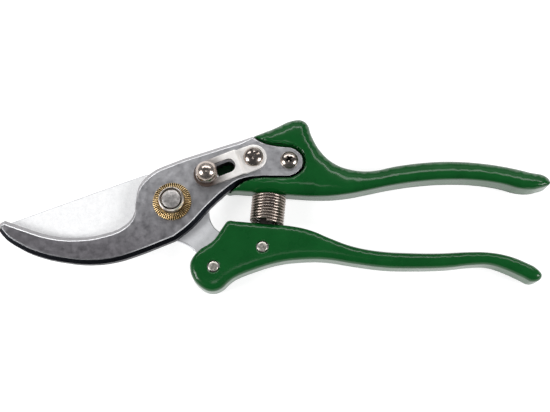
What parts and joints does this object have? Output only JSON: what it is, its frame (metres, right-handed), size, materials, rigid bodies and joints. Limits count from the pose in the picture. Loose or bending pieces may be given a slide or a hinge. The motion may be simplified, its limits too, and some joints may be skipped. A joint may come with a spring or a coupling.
{
  "type": "pruning shears",
  "caption": "Bypass pruning shears with curved hook, cutting blade, enamelled handles, return spring and sliding lock, shown closed and locked.",
  "frame": {"origin": "on the pivot axis, at the flat back of the pivot bolt's head, which is the plane the closed shears lie on", "axes": "+X from the pivot towards the ends of the handles, the hook's tip at -X; +Y across the handles towards the handle that holds the hook; +Z away from the table, along the pivot towards its nut"},
  "size_m": [0.216, 0.0695, 0.0209],
  "materials": {
    "green_enamel": "gloss",
    "polished_steel": "polished",
    "satin_steel": "satin",
    "nickel": "bright",
    "plain_steel": "bright",
    "yellow_zinc": "bright",
    "bronze": "satin",
    "spring_steel": "bright"
  },
  "bodies": {
    "hook_side": {"hook_blade": "satin_steel", "upper_handle": "green_enamel", "tail_screw": "nickel", "lock_plate": "nickel", "lock_plate_screw": "nickel", "pivot_bolt": "plain_steel", "pivot_nut": "nickel", "pivot_bush": "bronze", "toothed_washer": "yellow_zinc", "friction_washer": "bronze", "back_washer": "plain_steel", "return_spring": "spring_steel"},
    "blade_side": {"cutting_blade": "polished_steel", "lower_handle": "green_enamel", "rivet_front": "plain_steel", "rivet_rear": "plain_steel"},
    "lock": {"lock_knob": "nickel", "knob_washer": "bronze", "lock_pin": "plain_steel", "lock_shoe": "plain_steel"}
  },
  "joints": [
    {"name": "handle_pivot", "type": "hinge", "parent": "hook_side", "child": "blade_side", "pos_m": [0, 0, 0.0055], "axis": [0, 0, -1], "range_deg": [0, 28], "deforming": ["return_spring"]},
    {"name": "lock_slide", "type": "slide", "parent": "hook_side", "child": "lock", "axis": [0.9272, 0.3746, 0], "range_m": [0, 0.009]}
  ]
}
